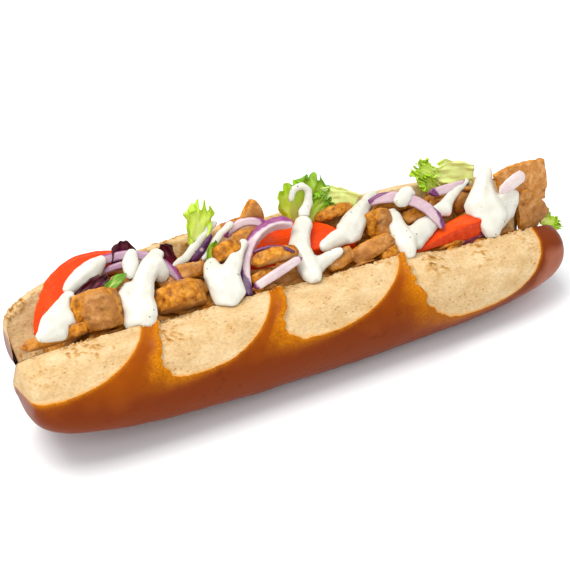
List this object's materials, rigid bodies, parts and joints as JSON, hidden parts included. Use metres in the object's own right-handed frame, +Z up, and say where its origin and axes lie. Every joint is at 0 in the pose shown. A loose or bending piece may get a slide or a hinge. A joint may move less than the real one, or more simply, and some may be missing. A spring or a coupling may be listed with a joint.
{
  "type": "submarine sandwich",
  "caption": "Slashed pretzel-style baguette split along its top and filled with sliced roast meat, tomato, red onion, salad leaves and thick white sauce.",
  "frame": {"origin": "middle of the flat base that the roll rests on", "axes": "+X along the roll, towards its right end as seen from the near side; +Y towards the far half; +Z up out of the opening"},
  "size_m": [0.3029, 0.0973, 0.0786],
  "materials": {
    "crust": "glossy brown baked crust, with pale open crumb where it burst and on the cut faces",
    "meat": "roasted, slightly moist",
    "tomato": "wet red flesh with glossy skin",
    "onion": "translucent lilac flesh with purple skin",
    "leaf": "fresh green leaf",
    "red_leaf": "dark red leaf",
    "sauce": "thick creamy white with herb flecks"
  },
  "bodies": {
    "root": {"leaf_dark_green": "leaf", "leaf_end": "leaf", "leaf_frill_left": "leaf", "leaf_frill_middle": "leaf", "leaf_frill_right": "leaf", "leaf_green_inner": "leaf", "leaf_red_curl": "red_leaf", "leaf_red_left": "red_leaf", "leaf_red_rim": "red_leaf", "leaf_red_shade": "red_leaf", "meat_back_strip": "meat", "meat_bed": "meat", "meat_centre": "meat", "meat_centre_left": "meat", "meat_centre_low": "meat", "meat_cube": "meat", "meat_curl": "meat", "meat_dark_strip": "meat", "meat_end_block": "meat", "meat_end_flap": "meat", "meat_left_back": "meat", "meat_left_front": "meat", "meat_left_top": "meat", "meat_low": "meat", "meat_peak": "meat", "meat_right_top": "meat", "meat_rim": "meat", "meat_slant": "meat", "meat_small": "meat", "meat_tall_slab": "meat", "meat_under_onion": "meat", "onion_dark_strip": "onion", "onion_end_strip": "onion", "onion_front_strip": "onion", "onion_hoop": "onion", "onion_left_inner": "onion", "onion_left_outer": "onion", "onion_middle_back": "onion", "onion_right_back": "onion", "onion_right_strip": "onion", "onion_sliver": "onion", "roll": "crust", "sauce_curl": "sauce", "sauce_dot": "sauce", "sauce_end": "sauce", "sauce_leaf_left": "sauce", "sauce_left_dab": "sauce", "sauce_left_drip": "sauce", "sauce_left_foot": "sauce", "sauce_left_high": "sauce", "sauce_middle_drip": "sauce", "sauce_right_dab": "sauce", "sauce_slash": "sauce", "sauce_thread": "sauce", "sauce_tomato": "sauce", "sauce_vee": "sauce", "tomato_left": "tomato", "tomato_middle": "tomato", "tomato_wedge": "tomato"}
  },
  "joints": []
}
